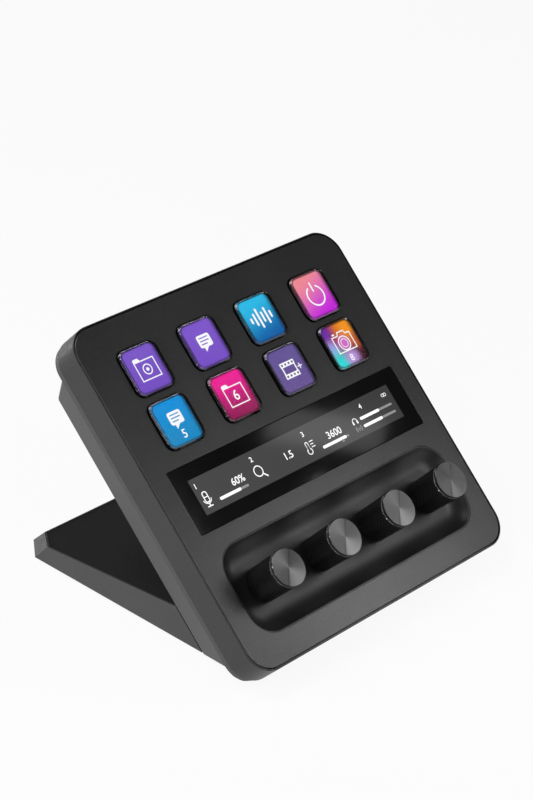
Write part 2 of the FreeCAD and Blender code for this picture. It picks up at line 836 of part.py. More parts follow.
def make_board_parts():
    return Part.makeCompound([
        on_board(processor_size, processor_share * main_board_width, main_board_middle),
        on_board(memory_size, memory_share * main_board_width, main_board_middle),
        on_board(power_size, power_share * main_board_width, main_board_middle),
        on_board(connector_size, 0, display_lead_y),
        on_board(connector_size, 0, dial_lead_y),
    ])


def make_usb_socket():
    high = main_board_low
    low = hump_low + socket_drop
    shell = plate(socket_width, socket_height, socket_height / 2 - touch_share * reach, low, high,
                  0, socket_middle)
    mouth_width = socket_width - 2 * socket_wall
    mouth_height = socket_height - 2 * socket_wall
    mouth = plate(mouth_width, mouth_height, mouth_height / 2 - touch_share * reach, low - overrun,
                  low + socket_depth, 0, socket_middle)
    tongue = block(tongue_width, tongue_thickness, low + tongue_drop, low + socket_depth, 0, socket_middle)
    return fuse(shell.cut(mouth), [tongue])


# Flat leads that run from one board to another

def ribbon(points):
    """Flat lead of three points in the y and z plane, with one rounded bend."""
    start, corner, end = [vector(0, y, z) for y, z in points]
    first = (start - corner).normalize()
    second = (end - corner).normalize()
    bend_start = corner + first * ribbon_bend
    bend_end = corner + second * ribbon_bend
    centre = corner + (first + second) * ribbon_bend
    middle = centre + (corner - centre).normalize() * ribbon_bend
    path = Part.Wire([Part.makeLine(start, bend_start), Part.Arc(bend_start, middle, bend_end).toShape(),
                      Part.makeLine(bend_end, end)])
    across = vector(ribbon_width / 2, 0, 0)
    thick = second * (ribbon_thickness / 2)
    corners = [start - across - thick, start + across - thick, start + across + thick, start - across + thick]
    return path.makePipeShell([Part.makePolygon(corners + corners[:1])], True, False)


def make_display_ribbon():
    middle_z = (key_board_low + key_display_low) / 2
    start = (key_middle - board_height / 2, middle_z)
    return ribbon([start, (display_lead_y, middle_z), (display_lead_y, main_board_top + connector_size[2])])


def make_dial_ribbon():
    edge_y = well_middle + dial_board_height / 2
    middle_z = (dial_board_low + dial_board_top) / 2
    return ribbon([(edge_y, middle_z), (dial_lead_y, middle_z),
                   (dial_lead_y, main_board_top + connector_size[2])])


# Foot: a hollow wedge behind the hump, drawn over the floor

def foot_front(z, inset):
    return back_plane(z, foot_depth + inset)


def foot_back(z, inset):
    return foot_back_y - inset + (foot_back_z - z) * toe_slope


def foot_roof(y, drop):
    return foot_front_z + (y - foot_front_y) * foot_slope - drop


def roof_meets(edge, drop):
    """Height at which the sloping roof line meets a front or back edge line."""
    base = edge(0)
    lean = edge(1) - base
    return (foot_roof(base, drop)) / (1 - lean * foot_slope)


def foot_block(front, back, side, low, high=None, drop=0.0):
    """Wedge drawn in from each side; its top is the roof line, or flat where high is given."""
    def front_edge(z):
        return foot_front(z, front)

    def back_edge(z):
        return foot_back(z, back)

    front_high = roof_meets(front_edge, drop) if high is None else high
    back_high = roof_meets(back_edge, drop) if high is None else high
    half = foot_width / 2 - side
    corners = [vector(-half, front_edge(low), low), vector(-half, front_edge(front_high), front_high),
               vector(-half, back_edge(back_high), back_high), vector(-half, back_edge(low), low)]
    wedge = Part.Face(Part.makePolygon(corners + corners[:1])).extrude(vector(2 * half, 0, 0))
    for hand in (-1, 1):
        corner_y = foot_back_y - foot_corner_along
        on_side = vector(hand * foot_width / 2, corner_y, foot_roof(corner_y, 0))
        on_back = vector(hand * (foot_width / 2 - foot_corner_across), foot_back_y, foot_back_z)
        on_floor = vector(hand * foot_width / 2, corner_y + foot_corner_toe, foot_low)
        normal = (on_back - on_side).cross(on_floor - on_side).normalize()
        if normal.x * hand < 0:
            normal = normal * -1
        wedge = wedge.cut(half_space(on_side - normal * side, normal))
    return wedge


def foot_pads():
    """The raised land of the foot's front wall, which touches the hump inside the seam."""
    low = foot_low + foot_seam_depth
    high = foot_front_z - foot_seam_depth
    half = foot_width / 2 - foot_seam_depth
    corners = [vector(-half, back_plane(low, hump_depth), low),
               vector(-half, back_plane(high, hump_depth), high),
               vector(-half, back_plane(high, foot_depth), high),
               vector(-half, back_plane(low, foot_depth), low)]
    return Part.Face(Part.makePolygon(corners + corners[:1])).extrude(vector(2 * half, 0, 0))


def upright_rod(radius, low, high, x):
    """Rod square to the panel, given in the flat panel frame, as it lies over the floor."""
    tube = rod(radius, low, high, x, foot_screw_height)
    tube.rotate(vector(0, 0, 0), vector(1, 0, 0), panel_tilt)
    tube.translate(vector(0, 0, panel_lift))
    return tube


foot_wall_low = -foot_depth - foot_front_wall


def make_stand_shell():
    skin = foot_block(0, 0, 0, foot_low)
    roof_drop = mat_drop + mat_thickness
    cavity = foot_block(foot_front_wall, foot_wall, foot_wall, foot_low - overrun, None, roof_drop + foot_wall)
    recess = foot_block(mat_rim, mat_rim, mat_rim, foot_low, None, -overrun)
    recess = recess.cut(foot_block(0, 0, 0, foot_low, None, roof_drop))
    shell = fuse(skin.cut(cavity).cut(recess), [foot_pads()])
    holes = [upright_rod(foot_screw_radius + screw_hole_gap, foot_wall_low - overrun, hump_low + overrun, x)
             for x in foot_screw_places]
    return shell.cut(Part.makeCompound(holes))


def make_stand_mat():
    inlay = foot_block(mat_rim, mat_rim, mat_rim, foot_low, None, mat_drop)
    return inlay.cut(foot_block(0, 0, 0, foot_low, None, mat_drop + mat_thickness))


def make_stand_base():
    inset = foot_wall + base_gap
    return foot_block(foot_front_wall + base_gap, inset, inset, foot_low, foot_low + base_thickness)


def make_stand_weight():
    start = foot_front(foot_low, foot_front_wall) + weight_start
    low = foot_low + base_thickness
    return block(weight_width, weight_length, low, low + weight_thickness, 0, start + weight_length / 2)


def make_foot_pad():
    return foot_block(pad_inset, pad_inset, pad_inset, 0, pad_thickness)


def make_stand_screws():
    screws = []
    for x in foot_screw_places:
        head = rod(foot_screw_head_radius, foot_wall_low - foot_screw_head, foot_wall_low, x, foot_screw_height)
        tip = hump_low + cover_wall + foot_boss_depth - screw_end_gap
        shank = rod(foot_screw_radius, foot_wall_low, tip, x, foot_screw_height)
        screws.append(fuse(head, [shank]))
    return Part.makeCompound(screws)


def main():
    panel_pieces = {
        "faceplate": make_faceplate,
        "front_frame": make_front_frame,
        "carrier_frame": make_carrier_frame,
        "key_membrane": make_key_membrane,
        "key_board": make_key_board,
        "key_display": make_key_display,
        "display_plate": make_display_plate,
        "touch_glass": make_touch_glass,
        "strip_display": make_strip_display,
        "dial_tray": make_dial_tray,
        "dial_board": make_dial_board,
        "encoder_cases": make_encoder_cases,
        "rear_cover": make_rear_cover,
        "housing_screws": make_housing_screws,
        "main_board": make_main_board,
        "board_parts": make_board_parts,
        "board_screws": make_board_screws,
        "usb_socket": make_usb_socket,
        "display_ribbon": make_display_ribbon,
        "dial_ribbon": make_dial_ribbon,
        "stand_screws": make_stand_screws,
    }
    for name, make in panel_pieces.items():
        save(name, stand_up(make()))
    for number, (x, y) in enumerate(key_places(), 1):
        save("key_skirt_%d" % number, stand_up(make_key_skirt(x, y)))
        save("key_lens_%d" % number, stand_up(make_key_lens(x, y)))
    for number, (x, y) in enumerate(dial_places(), 1):
        save("push_slider_%d" % number, stand_up(make_push_slider(x, y)))
        save("knob_shaft_%d" % number, stand_up(make_knob_shaft(x, y)))
        save("knob_grip_%d" % number, stand_up(make_knob_grip(x, y)))
        save("knob_cap_%d" % number, stand_up(make_knob_cap(x, y)))
    foot_pieces = {
        "stand_shell": make_stand_shell,
        "stand_mat": make_stand_mat,
        "stand_base": make_stand_base,
        "stand_weight": make_stand_weight,
        "foot_pad": make_foot_pad,
    }
    for name, make in foot_pieces.items():
        save(name, set_down(make()))


main()
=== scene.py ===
import json
import math

import bmesh
import bpy
from mathutils import Matrix, Vector


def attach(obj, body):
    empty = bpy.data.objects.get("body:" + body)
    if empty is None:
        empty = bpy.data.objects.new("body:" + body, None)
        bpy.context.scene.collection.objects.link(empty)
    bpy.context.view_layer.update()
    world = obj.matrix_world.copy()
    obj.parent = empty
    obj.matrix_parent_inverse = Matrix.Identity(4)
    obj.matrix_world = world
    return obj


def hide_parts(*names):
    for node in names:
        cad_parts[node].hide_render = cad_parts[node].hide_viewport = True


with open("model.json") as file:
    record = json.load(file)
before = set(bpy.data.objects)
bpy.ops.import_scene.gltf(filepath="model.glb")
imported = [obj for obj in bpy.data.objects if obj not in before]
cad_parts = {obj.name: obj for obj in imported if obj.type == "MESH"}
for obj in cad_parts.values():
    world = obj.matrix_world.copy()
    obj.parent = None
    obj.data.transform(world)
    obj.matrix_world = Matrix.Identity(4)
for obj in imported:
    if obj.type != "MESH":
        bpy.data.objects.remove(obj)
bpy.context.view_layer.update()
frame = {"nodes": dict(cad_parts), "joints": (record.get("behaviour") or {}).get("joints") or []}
nodes = frame["nodes"]
joints = {joint["name"]: joint for joint in frame["joints"]}
mm = 0.001

print("camera")

camera = {
    # where the photograph was taken from, m, the picture's own right and up, and the lens, mm
    "place": (-0.6084, -0.5346, 0.5016),
    "right": (0.6783, -0.7333, 0.0471),
    "up": (0.3194, 0.3521, 0.8798),
    "lens": 112.86,
    "sensor": 36.0,
}


def makeCamera():
    right = Vector(camera["right"]).normalized()
    back = right.cross(Vector(camera["up"])).normalized()
    up = back.cross(right)
    turn = Matrix((right, up, back)).transposed().to_4x4()
    lens = bpy.data.cameras.new("photoCamera")
    lens.sensor_width = camera["sensor"]
    lens.lens = camera["lens"]
    lens.clip_end = 20
    seen = bpy.data.objects.new("photoCamera", lens)
    seen.matrix_world = Matrix.Translation(camera["place"]) @ turn
    bpy.context.scene.collection.objects.link(seen)
    bpy.context.scene.camera = seen


makeCamera()

# The panel's own frame: x across it, y up it, z out of its face, zero at the middle of the face.
# A dial's turning axis is square to the panel and starts level with its face.
panel = {
    "keyRows": (46.35, 24.65),   # heights of the two rows of keys, mm
    "keyPitch": 29.9,
    "stripRow": -3.1,
    "dialRow": -40.25,
    "dialPitch": 29.85,
}
firstTurn = joints["dial_1_turn"]
panelOut = Vector(firstTurn["axis"]).normalized()
panelAcross = Vector((1, 0, 0))
panelUp = panelOut.cross(panelAcross)
dialStart = Vector(firstTurn["pos_m"])
panelMiddle = Vector((0, dialStart.y, dialStart.z)) - panelUp * panel["dialRow"] * mm
panelTurn = Matrix((panelAcross, panelUp, panelOut)).transposed().to_4x4()


def onPanel(x, y):
    return Matrix.Translation(panelMiddle) @ panelTurn @ Matrix.Translation(Vector((x, y, 0)) * mm)


def keyPlace(number):
    row, column = divmod(number - 1, 4)
    return (column - 1.5) * panel["keyPitch"], panel["keyRows"][row]


def dialPlace(number):
    return (number - 2.5) * panel["dialPitch"], panel["dialRow"]


print("shader kit")


def colour(code):
    # a display colour such as 7c52cc as the linear one that the shaders take
    parts = [int(code[i:i + 2], 16) / 255 for i in (0, 2, 4)]
    return tuple(p / 12.92 if p <= 0.04045 else ((p + 0.055) / 1.055) ** 2.4 for p in parts) + (1,)


black = colour("000000")
white = colour("ffffff")


class Value:
    # one shader socket that takes part in ordinary sums
    def __init__(self, paint, socket):
        self.paint = paint
        self.socket = socket

    def __add__(self, other):
        return self.paint.math("ADD", self, other)

    def __radd__(self, other):
        return self.paint.math("ADD", other, self)

    def __sub__(self, other):
        return self.paint.math("SUBTRACT", self, other)

    def __rsub__(self, other):
        return self.paint.math("SUBTRACT", other, self)

    def __mul__(self, other):
        return self.paint.math("MULTIPLY", self, other)

    def __rmul__(self, other):
        return self.paint.math("MULTIPLY", other, self)

    def __truediv__(self, other):
        return self.paint.math("DIVIDE", self, other)

    def __rtruediv__(self, other):
        return self.paint.math("DIVIDE", other, self)


class Paint:
    # a material on the standard shader, built node by node
    def __init__(self, name, look):
        self.material = bpy.data.materials.new(name)
        self.material.use_nodes = True
        self.tree = self.material.node_tree
        self.shader = self.tree.nodes["Principled BSDF"]
        for socket, value in look.items():
            self.shader.inputs[socket].default_value = value

    def join(self, value, socket):
        if isinstance(value, Value):
            self.tree.links.new(value.socket, socket)
        else:
            socket.default_value = value

    def node(self, kind, settings, inputs, output=0):
        made = self.tree.nodes.new(kind)
        for name, value in settings.items():
            if name == "stops":
                self.setStops(made.color_ramp, value)
            else:
                setattr(made, name, value)
        for name, value in inputs.items():
            self.join(value, made.inputs[name])
        return Value(self, made.outputs[output])

    def setStops(self, ramp, stops):
        while len(ramp.elements) < len(stops):
            ramp.elements.new(1)
        for element, (place, shade) in zip(ramp.elements, stops):
            element.position = place
            element.color = shade

    def math(self, operation, *values):
        return self.node("ShaderNodeMath", {"operation": operation}, dict(enumerate(values)))

    def feed(self, socket, value):
        self.join(value, self.shader.inputs[socket])

    def place(self):
        return self.node("ShaderNodeTexCoord", {}, {}, "Object")

    def along(self, direction, start):
        # distance in mm from a starting point, along a direction
        reach = self.node("ShaderNodeVectorMath", {"operation": "DOT_PRODUCT"},
                          {0: self.place(), 1: direction}, "Value")
        return reach / mm - start.dot(direction) / mm

    def parts(self):
        # x, y and z of the object's own coordinates in mm
        first = self.node("ShaderNodeSeparateXYZ", {}, {0: self.place()})
        return [Value(self, socket) / mm for socket in first.socket.node.outputs]

    def noise(self, size, detail=2.0, stretch=(1, 1, 1)):
        # cloudy values about 0.5, with lumps of a size in mm
        spread = self.node("ShaderNodeVectorMath", {"operation": "MULTIPLY"}, {0: self.place(), 1: stretch})
        return self.node("ShaderNodeTexNoise", {},
                         {"Vector": spread, "Scale": 1 / (size * mm), "Detail": detail})

    def step(self, value, low, high):
        # 0 below low, 1 above high and smooth between
        return self.node("ShaderNodeMapRange", {"interpolation_type": "SMOOTHSTEP"},
                         {0: value, 1: low, 2: high, 3: 0.0, 4: 1.0})

    def mix(self, factor, first, second):
        return self.node("ShaderNodeMix", {"data_type": "RGBA"}, {0: factor, 6: first, 7: second}, 2)

    def bump(self, height, depth, strength=1.0):
        return self.node("ShaderNodeBump", {},
                         {"Height": height, "Distance": depth * mm, "Strength": strength})


class Sky(Paint):
    # the world, painted with the same tools as a material
    def __init__(self, name):
        self.world = bpy.data.worlds.new(name)
        self.world.use_nodes = True
        self.tree = self.world.node_tree


print("finishes")

moulding = {
    # what all moulded and coated plastics share
    "speck": "8a8a8a",
    "speckSize": 0.45,       # as a share of the grain
    "speckFrom": (0.62, 0.8),
    "mottleFrom": (0.35, 0.65),
    "grainShine": 0.12,      # how much grain and mottling change the roughness
    "cloudShine": 0.08,
}


def mouldedPaint(name, look):
    # moulded or coated plastic: a fine grain, slight mottling and light specks
    paint = Paint(name, {"Specular IOR Level": look["specular"]})
    cloud = paint.noise(look["cloud"], 3.0)
    grain = paint.noise(look["grain"], 2.0)
    speck = paint.noise(look["grain"] * moulding["speckSize"], 1.0)
    tone = paint.mix(paint.step(cloud, *moulding["mottleFrom"]), colour(look["dark"]), colour(look["light"]))
    specks = paint.step(speck, *moulding["speckFrom"]) * look["speck"]
    paint.tone = paint.mix(specks, tone, colour(moulding["speck"]))
    paint.feed("Base Color", paint.tone)
    shine = (grain - 0.5) * moulding["grainShine"]
    paint.feed("Roughness", look["roughness"] + shine + (cloud - 0.5) * moulding["cloudShine"])
    paint.feed("Normal", paint.bump(grain + speck * 0.5, look["depth"]))
    return paint


# Of each plastic: two near colours, the sizes of mottling and grain in mm, how strongly specks show,
# its roughness, the grain's depth in mm, and its specular level.
coat = {"dark": "252525", "light": "2a2a2a", "cloud": 45, "grain": 0.45, "speck": 0.45,
        "roughness": 0.36, "depth": 0.035, "specular": 0.5,
        # painted shade round each key window: the window's size and corner, and where the dark ends, mm
        "window": 17.6, "windowCorner": 2.9, "shade": (0.1, 1.5), "shadeShare": 0.9, "paintedShade": "050505"}
band = {"dark": "1b1b1b", "light": "202020", "cloud": 40, "grain": 0.45, "speck": 0.35,
        "roughness": 0.42, "depth": 0.035, "specular": 0.5}
rear = {"dark": "3c3c3c", "light": "424242", "cloud": 50, "grain": 0.6, "speck": 0.2,
        "roughness": 0.5, "depth": 0.03, "specular": 0.5}
foot = {"dark": "333333", "light": "383838", "cloud": 50, "grain": 0.6, "speck": 0.2,
        "roughness": 0.5, "depth": 0.03, "specular": 0.5}
trayLook = {"dark": "191919", "light": "1d1d1d", "cloud": 18, "grain": 0.35, "speck": 0.1,
            "roughness": 0.47, "depth": 0.01, "specular": 0.5}
innerPlastic = {"dark": "232325", "light": "29292b", "cloud": 30, "grain": 0.8, "speck": 0.2,
                "roughness": 0.6, "depth": 0.03, "specular": 0.5}
softGrey = {"dark": "6b6e70", "light": "767a7c", "cloud": 12, "grain": 0.5, "speck": 0.1,
            "roughness": 0.7, "depth": 0.02, "specular": 0.4}
padRubber = {"dark": "1c1c1d", "light": "222223", "cloud": 15, "grain": 0.4, "speck": 0.1,
             "roughness": 0.85, "depth": 0.04, "specular": 0.3}
chipLook = {"dark": "17181a", "light": "202124", "cloud": 3, "grain": 0.12, "speck": 0.15,
            "roughness": 0.55, "depth": 0.01, "specular": 0.4}
displayLook = {"dark": "101114", "light": "15161a", "cloud": 20, "grain": 0.3, "speck": 0.05,
               "roughness": 0.35, "depth": 0.004, "specular": 0.5}


def roundEdge(paint, x, y, width, height, corner):
    # distance in mm outside a rounded rectangle's outline
    across = paint.math("MAXIMUM", paint.math("ABSOLUTE", x) - (width / 2 - corner), 0)
    up = paint.math("MAXIMUM", paint.math("ABSOLUTE", y) - (height / 2 - corner), 0)
    return paint.math("SQRT", across * across + up * up) - corner


def coatPaint():
    # charcoal coat that darkens round each key window as painted shade; the eight windows fold onto one
    paint = mouldedPaint("faceCoat", coat)
    x = paint.math("ABSOLUTE", paint.along(panelAcross, panelMiddle))
    column = paint.math("ABSOLUTE", x - panel["keyPitch"]) - panel["keyPitch"] / 2
    high, low = panel["keyRows"]
    y = paint.along(panelUp, panelMiddle) - (high + low) / 2
    row = paint.math("ABSOLUTE", y) - (high - low) / 2
    away = roundEdge(paint, column, row, coat["window"], coat["window"], coat["windowCorner"])
    # painted shade: darkest at each window's edge and fading outwards
    shade = 1 - paint.step(away, *coat["shade"])
    paint.feed("Base Color", paint.mix(shade * coat["shadeShare"], paint.tone, colour(coat["paintedShade"])))
    return paint


mat = {"dark": "131313", "light": "1a1a1a", "thread": 0.9, "cloud": 25, "roughness": 0.8, "specular": 0.35}


def matPaint():
    # woven-looking rubber inlay on the foot
    paint = Paint("footMat", {"Specular IOR Level": mat["specular"]})
    x, y = paint.parts()[:2]
    ribs = paint.math("SINE", x * (2 * math.pi / mat["thread"]))
    weft = paint.math("SINE", y * (2 * math.pi / mat["thread"]))
    weave = (ribs * weft) * 0.5 + 0.5
    cloud = paint.noise(mat["cloud"], 3.0)
    share = weave * 0.6 + cloud * 0.4
    paint.feed("Base Color", paint.mix(share, colour(mat["dark"]), colour(mat["light"])))
    paint.feed("Roughness", mat["roughness"] + (cloud - 0.5) * 0.1)
    paint.feed("Normal", paint.bump(weave, 0.04, 0.6))
    return paint


# Of each metal: two near colours, the sizes of mottling and drawn lines in mm, and its roughness.
steel = {"dark": "9a9b9d", "light": "b4b5b7", "cloud": 8, "line": 0.3, "roughness": 0.35}
darkSteel = {"dark": "5a5a5c", "light": "6c6c6e", "cloud": 6, "line": 0.3, "roughness": 0.4}
ballast = {"dark": "77787b", "light": "8b8c90", "cloud": 15, "line": 0.6, "roughness": 0.45}


def metalPaint(name, look):
    # sheet or turned metal with fine drawn lines
    paint = Paint(name, {"Metallic": 1.0})
    cloud = paint.noise(look["cloud"], 3.0)
    lines = paint.noise(look["line"], 2.0, (0.05, 1, 1))
    paint.feed("Base Color", paint.mix(cloud, colour(look["dark"]), colour(look["light"])))
    paint.feed("Roughness", look["roughness"] + (lines - 0.5) * 0.2)
    paint.feed("Normal", paint.bump(lines, 0.004))
    return paint


board = {"mask": "10261c", "track": "1c4430", "pitch": 2.2, "edge": (0.03, 0.07), "raised": 0.03,
         "roughness": 0.4}


def boardPaint():
    # dark green solder mask with copper tracks under it
    paint = Paint("circuitBoard", {})
    cells = paint.node("ShaderNodeTexVoronoi", {"feature": "DISTANCE_TO_EDGE"},
                       {"Vector": paint.place(), "Scale": 1 / (board["pitch"] * mm)}, "Distance")
    track = 1 - paint.step(cells, *board["edge"])
    paint.feed("Base Color", paint.mix(track, colour(board["mask"]), colour(board["track"])))
    paint.feed("Roughness", board["roughness"] - track * 0.1)
    paint.feed("Normal", paint.bump(track, board["raised"]))
    return paint


ribbon = {"track": "6e3f12", "film": "9a6422", "pitch": 1.0, "roughness": 0.4}


def ribbonPaint():
    # amber film with dark tracks along it
    paint = Paint("ribbonFilm", {})
    x = paint.parts()[0]
    between = paint.step(paint.math("SINE", x * (2 * math.pi / ribbon["pitch"])), -0.2, 0.2)
    paint.feed("Base Color", paint.mix(between, colour(ribbon["track"]), colour(ribbon["film"])))
    paint.feed("Roughness", ribbon["roughness"] + between * 0.1)
    return paint


keyFrame = {"dark": "020203", "light": "060607", "haze": 3, "roughness": 0.1, "specular": 0.25}
keyTop = {"tint": "fafafc", "haze": 4, "roughness": 0.09, "index": 1.49}


def framePaint():
    # glossy black frame of a key
    paint = Paint("keyFrame", {"Specular IOR Level": keyFrame["specular"]})
    haze = paint.noise(keyFrame["haze"], 2.0)
    paint.feed("Base Color", paint.mix(haze, colour(keyFrame["dark"]), colour(keyFrame["light"])))
    paint.feed("Roughness", keyFrame["roughness"] + haze * 0.06)
    return paint


def lensPaint():
    # clear key top
    look = {"Transmission Weight": 1.0, "IOR": keyTop["index"], "Base Color": colour(keyTop["tint"])}
    paint = Paint("keyClear", look)
    haze = paint.noise(keyTop["haze"], 2.0)
    paint.feed("Roughness", keyTop["roughness"] + haze * 0.04)
    return paint


knurl = {
    "columns": 96,       # two to a diamond
    "pitch": 0.47,       # height of one row, mm
    "depth": 0.3,
    "low": -3.4, "high": 11.9,
    "lowRadius": 6.9, "highRadius": 7.3,
    "edge": 0.3,         # plain rim at each end
    "mouthRadius": 4.3, "mouthDepth": 3.0, "bore": 3.05, "seatRadius": 5.0, "seatDepth": 1.0,
    # the tips' lighter colour is a painted highlight on the knurl
    "ground": "000000", "tip": "545456",
    "tipShare": 0.4,     # share of the depth that counts as a tip
    "roughness": 0.4, "specular": 0.08,
}


def gripRadius(height):
    # the sleeve widens a little towards its end; a height may be a number or a shader value
    slope = (knurl["highRadius"] - knurl["lowRadius"]) / (knurl["high"] - knurl["low"])
    return knurl["lowRadius"] + (height - knurl["low"]) * slope


def knurlPaint():
    # black sleeve whose diamond tips are painted a little brighter as a painted highlight
    paint = Paint("knurlSleeve", {"Specular IOR Level": knurl["specular"]})
    x, y, z = paint.parts()
    radius = paint.math("SQRT", x * x + y * y)
    tip = paint.step(radius - gripRadius(z), -knurl["tipShare"] * knurl["depth"], 0.0)
    cloud = paint.noise(4, 2.0)
    share = tip * (0.4 + cloud * 0.6)
    paint.feed("Base Color", paint.mix(share, colour(knurl["ground"]), colour(knurl["tip"])))
    paint.feed("Roughness", knurl["roughness"] - tip * 0.1)
    return paint


spun = {
    "dark": "161616", "light": "606060",
    "rings": 9.0,        # lathe marks to a mm
    "ringDepth": 0.004,
    "roughness": 0.36,
    # painted reflection: brightness round the cap, by degrees from the panel's right-hand side, like the
    # sheen that the lathe's marks give
    "paintedRays": {-180: 0.42, -135: 0.4, -126: 0.2, -118: 0.9, -95: 1.0, -60: 0.8, -20: 0.42, 30: 0.32, 48: 0.3,
             54: 0.1, 60: 0.34, 95: 0.55, 120: 0.56, 150: 0.44, 180: 0.42},
}


def spunPaint():
    # spun metal: the fine rings that the lathe leaves, and painted reflection as rays of unlike brightness
    paint = Paint("spunMetalPaintedSheen", {"Metallic": 1.0, "Anisotropic": 0.7, "Anisotropic Rotation": 0.25})
    x, y = paint.parts()[:2]
    radius = paint.math("SQRT", x * x + y * y)
    rings = paint.node("ShaderNodeTexNoise", {"noise_dimensions": "1D"},
                       {"W": radius, "Scale": spun["rings"], "Detail": 3.0})
    # painted reflection: brightness set by angle round the cap
    stops = [((angle + 180) / 360, (share, share, share, 1)) for angle, share in spun["paintedRays"].items()]
    turn = paint.math("ARCTAN2", y, x) / (2 * math.pi) + 0.5
    paintedRays = paint.node("ShaderNodeValToRGB", {"stops": stops}, {0: turn})
    share = paint.node("ShaderNodeRGBToBW", {}, {0: paintedRays})
    bright = share * 0.85 + rings * 0.15
    paint.feed("Base Color", paint.mix(bright, colour(spun["dark"]), colour(spun["light"])))
    paint.feed("Roughness", spun["roughness"] + (rings - 0.5) * 0.12)
    paint.feed("Normal", paint.bump(rings, spun["ringDepth"]))
    return paint


rim = {"dark": "3c3c3c", "light": "4c4c4c", "haze": 2, "roughness": 0.06}


def rimPaint():
    # polished metal of the toothed ring and of the cap's edge
    paint = Paint("brightRim", {"Metallic": 1.0})
    haze = paint.noise(rim["haze"], 2.0)
    paint.feed("Base Color", paint.mix(haze, colour(rim["dark"]), colour(rim["light"])))
    paint.feed("Roughness", rim["roughness"] + haze * 0.06)
    return paint


glass = {
    "across": 107.6, "high": 13.9,     # lit area of the touch strip, mm
    "litEdge": 0.08,                   # half the width of its soft edge
    "left": "474747", "right": "3a3a3a",
    "sweep": (-55.0, 70.0),            # where along the strip the first colour ends and the second starts
    "black": "030303", "smeared": "060606", "smear": 14, "roughness": 0.05,
}


def glassPaint():
    # black glass with a lit grey area behind it
    paint = Paint("touchGlass", {"Emission Strength": 1.0, "Specular IOR Level": 0.5})
    x = paint.along(panelAcross, panelMiddle)
    y = paint.along(panelUp, panelMiddle) - panel["stripRow"]
    out = paint.along(panelOut, panelMiddle)
    across = paint.math("ABSOLUTE", x) - glass["across"] / 2
    high = paint.math("ABSOLUTE", y) - glass["high"] / 2
    edge = glass["litEdge"]
    inside = 1 - paint.step(paint.math("MAXIMUM", across, high), -edge, edge)
    face = paint.step(out, -0.3, -0.2)     # only the front of the glass is lit
    lit = paint.mix(paint.step(x + y, *glass["sweep"]), colour(glass["left"]), colour(glass["right"]))
    smear = paint.noise(glass["smear"], 3.0)
    paint.feed("Base Color", paint.mix(smear, colour(glass["black"]), colour(glass["smeared"])))
    paint.feed("Emission Color", paint.mix(inside * face, black, lit))
    paint.feed("Roughness", glass["roughness"] + smear * 0.04)
    return paint


ink = {"bright": "ffffff", "brightGlow": 1.08, "dim": "8c8c8e",
       "unlit": "101012", "cell": 0.3, "weakest": 0.92, "roughness": 0.4}


def lightPaint(name, code, strength=1.0):
    # something drawn on a display: it gives its own light
    paint = Paint(name, {"Roughness": ink["roughness"], "Emission Strength": strength})
    flicker = paint.noise(ink["cell"], 1.0)
    drawn = colour(code)
    weaker = tuple(part * ink["weakest"] for part in drawn[:3]) + (1,)
    paint.feed("Base Color", colour(ink["unlit"]))
    paint.feed("Emission Color", paint.mix(flicker, weaker, drawn))
    return paint


print("CAD pieces")

facePaint = coatPaint()
bandPaint = mouldedPaint("bandCoat", band)
rearPaint = mouldedPaint("rearHousing", rear)
footPaint = mouldedPaint("footHousing", foot)
trayPaint = mouldedPaint("dialTray", trayLook)
innerPaint = mouldedPaint("innerPlastic", innerPlastic)
steelPaint = metalPaint("plainSteel", steel)
darkSteelPaint = metalPaint("blackenedSteel", darkSteel)
circuitPaint = boardPaint()
filmPaint = ribbonPaint()
keyFramePaint = framePaint()
keyLensPaint = lensPaint()

dressed = {
    "faceplate": facePaint,
    "front_frame": bandPaint,
    "carrier_frame": innerPaint,
    "key_membrane": mouldedPaint("softSheet", softGrey),
    "key_board": circuitPaint,
    "key_display": mouldedPaint("displayPanel", displayLook),
    "display_plate": steelPaint,
    "touch_glass": glassPaint(),
    "strip_display": mouldedPaint("stripPanel", displayLook),
    "dial_tray": trayPaint,
    "dial_board": circuitPaint,
    "encoder_cases": steelPaint,
    "rear_cover": rearPaint,
    "housing_screws": darkSteelPaint,
    "main_board": circuitPaint,
    "board_parts": mouldedPaint("chipBlack", chipLook),
    "board_screws": steelPaint,
    "usb_socket": steelPaint,
    "display_ribbon": filmPaint,
    "dial_ribbon": filmPaint,
    "stand_screws": darkSteelPaint,
    "stand_shell": footPaint,
    "stand_mat": matPaint(),
    "stand_base": innerPaint,
    "stand_weight": metalPaint("ballastSteel", ballast),
    "foot_pad": mouldedPaint("padRubber", padRubber),
}
for number in range(1, 9):
    dressed["key_skirt_%d" % number] = keyFramePaint
    dressed["key_lens_%d" % number] = keyLensPaint
for number in range(1, 5):
    dressed["push_slider_%d" % number] = innerPaint
    dressed["knob_shaft_%d" % number] = steelPaint
for name, paint in dressed.items():
    nodes[name].data.materials.clear()
    nodes[name].data.materials.append(paint.material)

print("knobs")


def addPiece(name, bm, place, body, *paints):
    bmesh.ops.recalc_face_normals(bm, faces=bm.faces)
    mesh = bpy.data.meshes.new(name)
    bm.to_mesh(mesh)
    bm.free()
    for paint in paints:
        mesh.materials.append(paint.material)
    piece = bpy.data.objects.new(name, mesh)
    bpy.context.scene.collection.objects.link(piece)
    piece.matrix_world = place
    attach(piece, body)
    return piece


def turnRings(bm, rings, columns):
    # joins neighbouring rings of a turned shape, and the last to the first where neither is a point
    joined = []
    pairs = list(zip(rings, rings[1:]))
    if len(rings[0]) > 1 and len(rings[-1]) > 1:
        pairs.append((rings[-1], rings[0]))
    for row, (low, high) in enumerate(pairs):
        for column in range(columns):
            beside = (column + 1) % columns
            if len(low) == 1:
                joined.append((row, column, bm.faces.new((low[0], high[beside], high[column]))))
            elif len(high) == 1:
                joined.append((row, column, bm.faces.new((low[column], low[beside], high[0]))))
            else:
                corners = (low[column], low[beside], high[beside], high[column])
                joined.append((row, column, bm.faces.new(corners)))
    return joined


